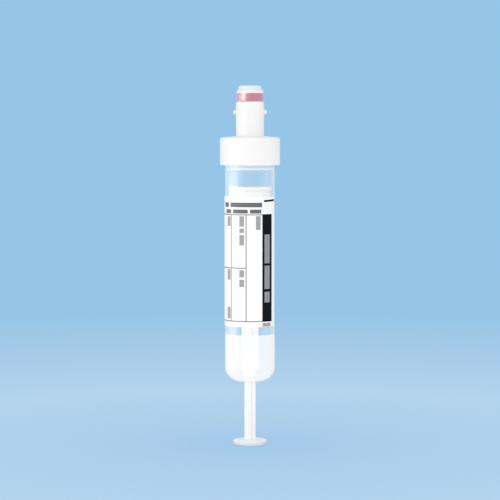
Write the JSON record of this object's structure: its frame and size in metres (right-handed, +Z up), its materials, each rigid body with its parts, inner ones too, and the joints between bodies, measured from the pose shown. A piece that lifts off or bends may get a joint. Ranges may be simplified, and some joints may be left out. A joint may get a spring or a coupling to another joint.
{
  "type": "blood collection tube",
  "caption": "Syringe-type blood collection tube: clear barrel with a pull-down piston and rod, paper label, screw cap with a bayonet neck and a rubber membrane.",
  "frame": {"origin": "centre of the thumb disc's underside, on the tube's axis", "axes": "+Z up along the tube towards the needle end, -Y the front of the label, X through the neck's two lugs"},
  "size_m": [0.018, 0.018, 0.108],
  "materials": {
    "clear_barrel": "clear polypropylene, frosted at the lower end",
    "label_paper": "white satin label paper",
    "label_ink": "black print",
    "cap_plastic": "satin white moulded plastic",
    "ring_plastic": "translucent moulded plastic",
    "membrane_rubber": "matt red rubber",
    "piston_plastic": "satin off-white moulded plastic",
    "rod_plastic": "satin white moulded plastic"
  },
  "bodies": {
    "barrel": {"tube": "clear_barrel", "label": "label_paper"},
    "piston": {"piston": "piston_plastic"},
    "rod": {"plunger_rod": "rod_plastic"},
    "membrane": {"membrane": "membrane_rubber"},
    "cap": {"screw_cap": "cap_plastic", "retaining_ring": "ring_plastic"}
  },
  "joints": [
    {"name": "piston_slide", "type": "slide", "parent": "barrel", "child": "piston", "axis": [0, 0, 1], "range_m": [-0.046, 0.0035]},
    {"name": "rod_turn", "type": "hinge", "parent": "piston", "child": "rod", "pos_m": [0, 0, 0.0704], "axis": [0, 0, 1], "continuous": true},
    {"name": "cap_lift", "type": "slide", "parent": "barrel", "child": "membrane", "axis": [0, 0, 1], "range_m": [0, 0.0045]},
    {"name": "cap_turn", "type": "hinge", "parent": "membrane", "child": "cap", "pos_m": [0, 0, 0.0924], "axis": [0, 0, 1], "range_deg": [0, 541]}
  ],
  "couplings": [
    {"joint": "cap_turn", "follows": "cap_lift", "rad_per_m": 2094.4}
  ]
}
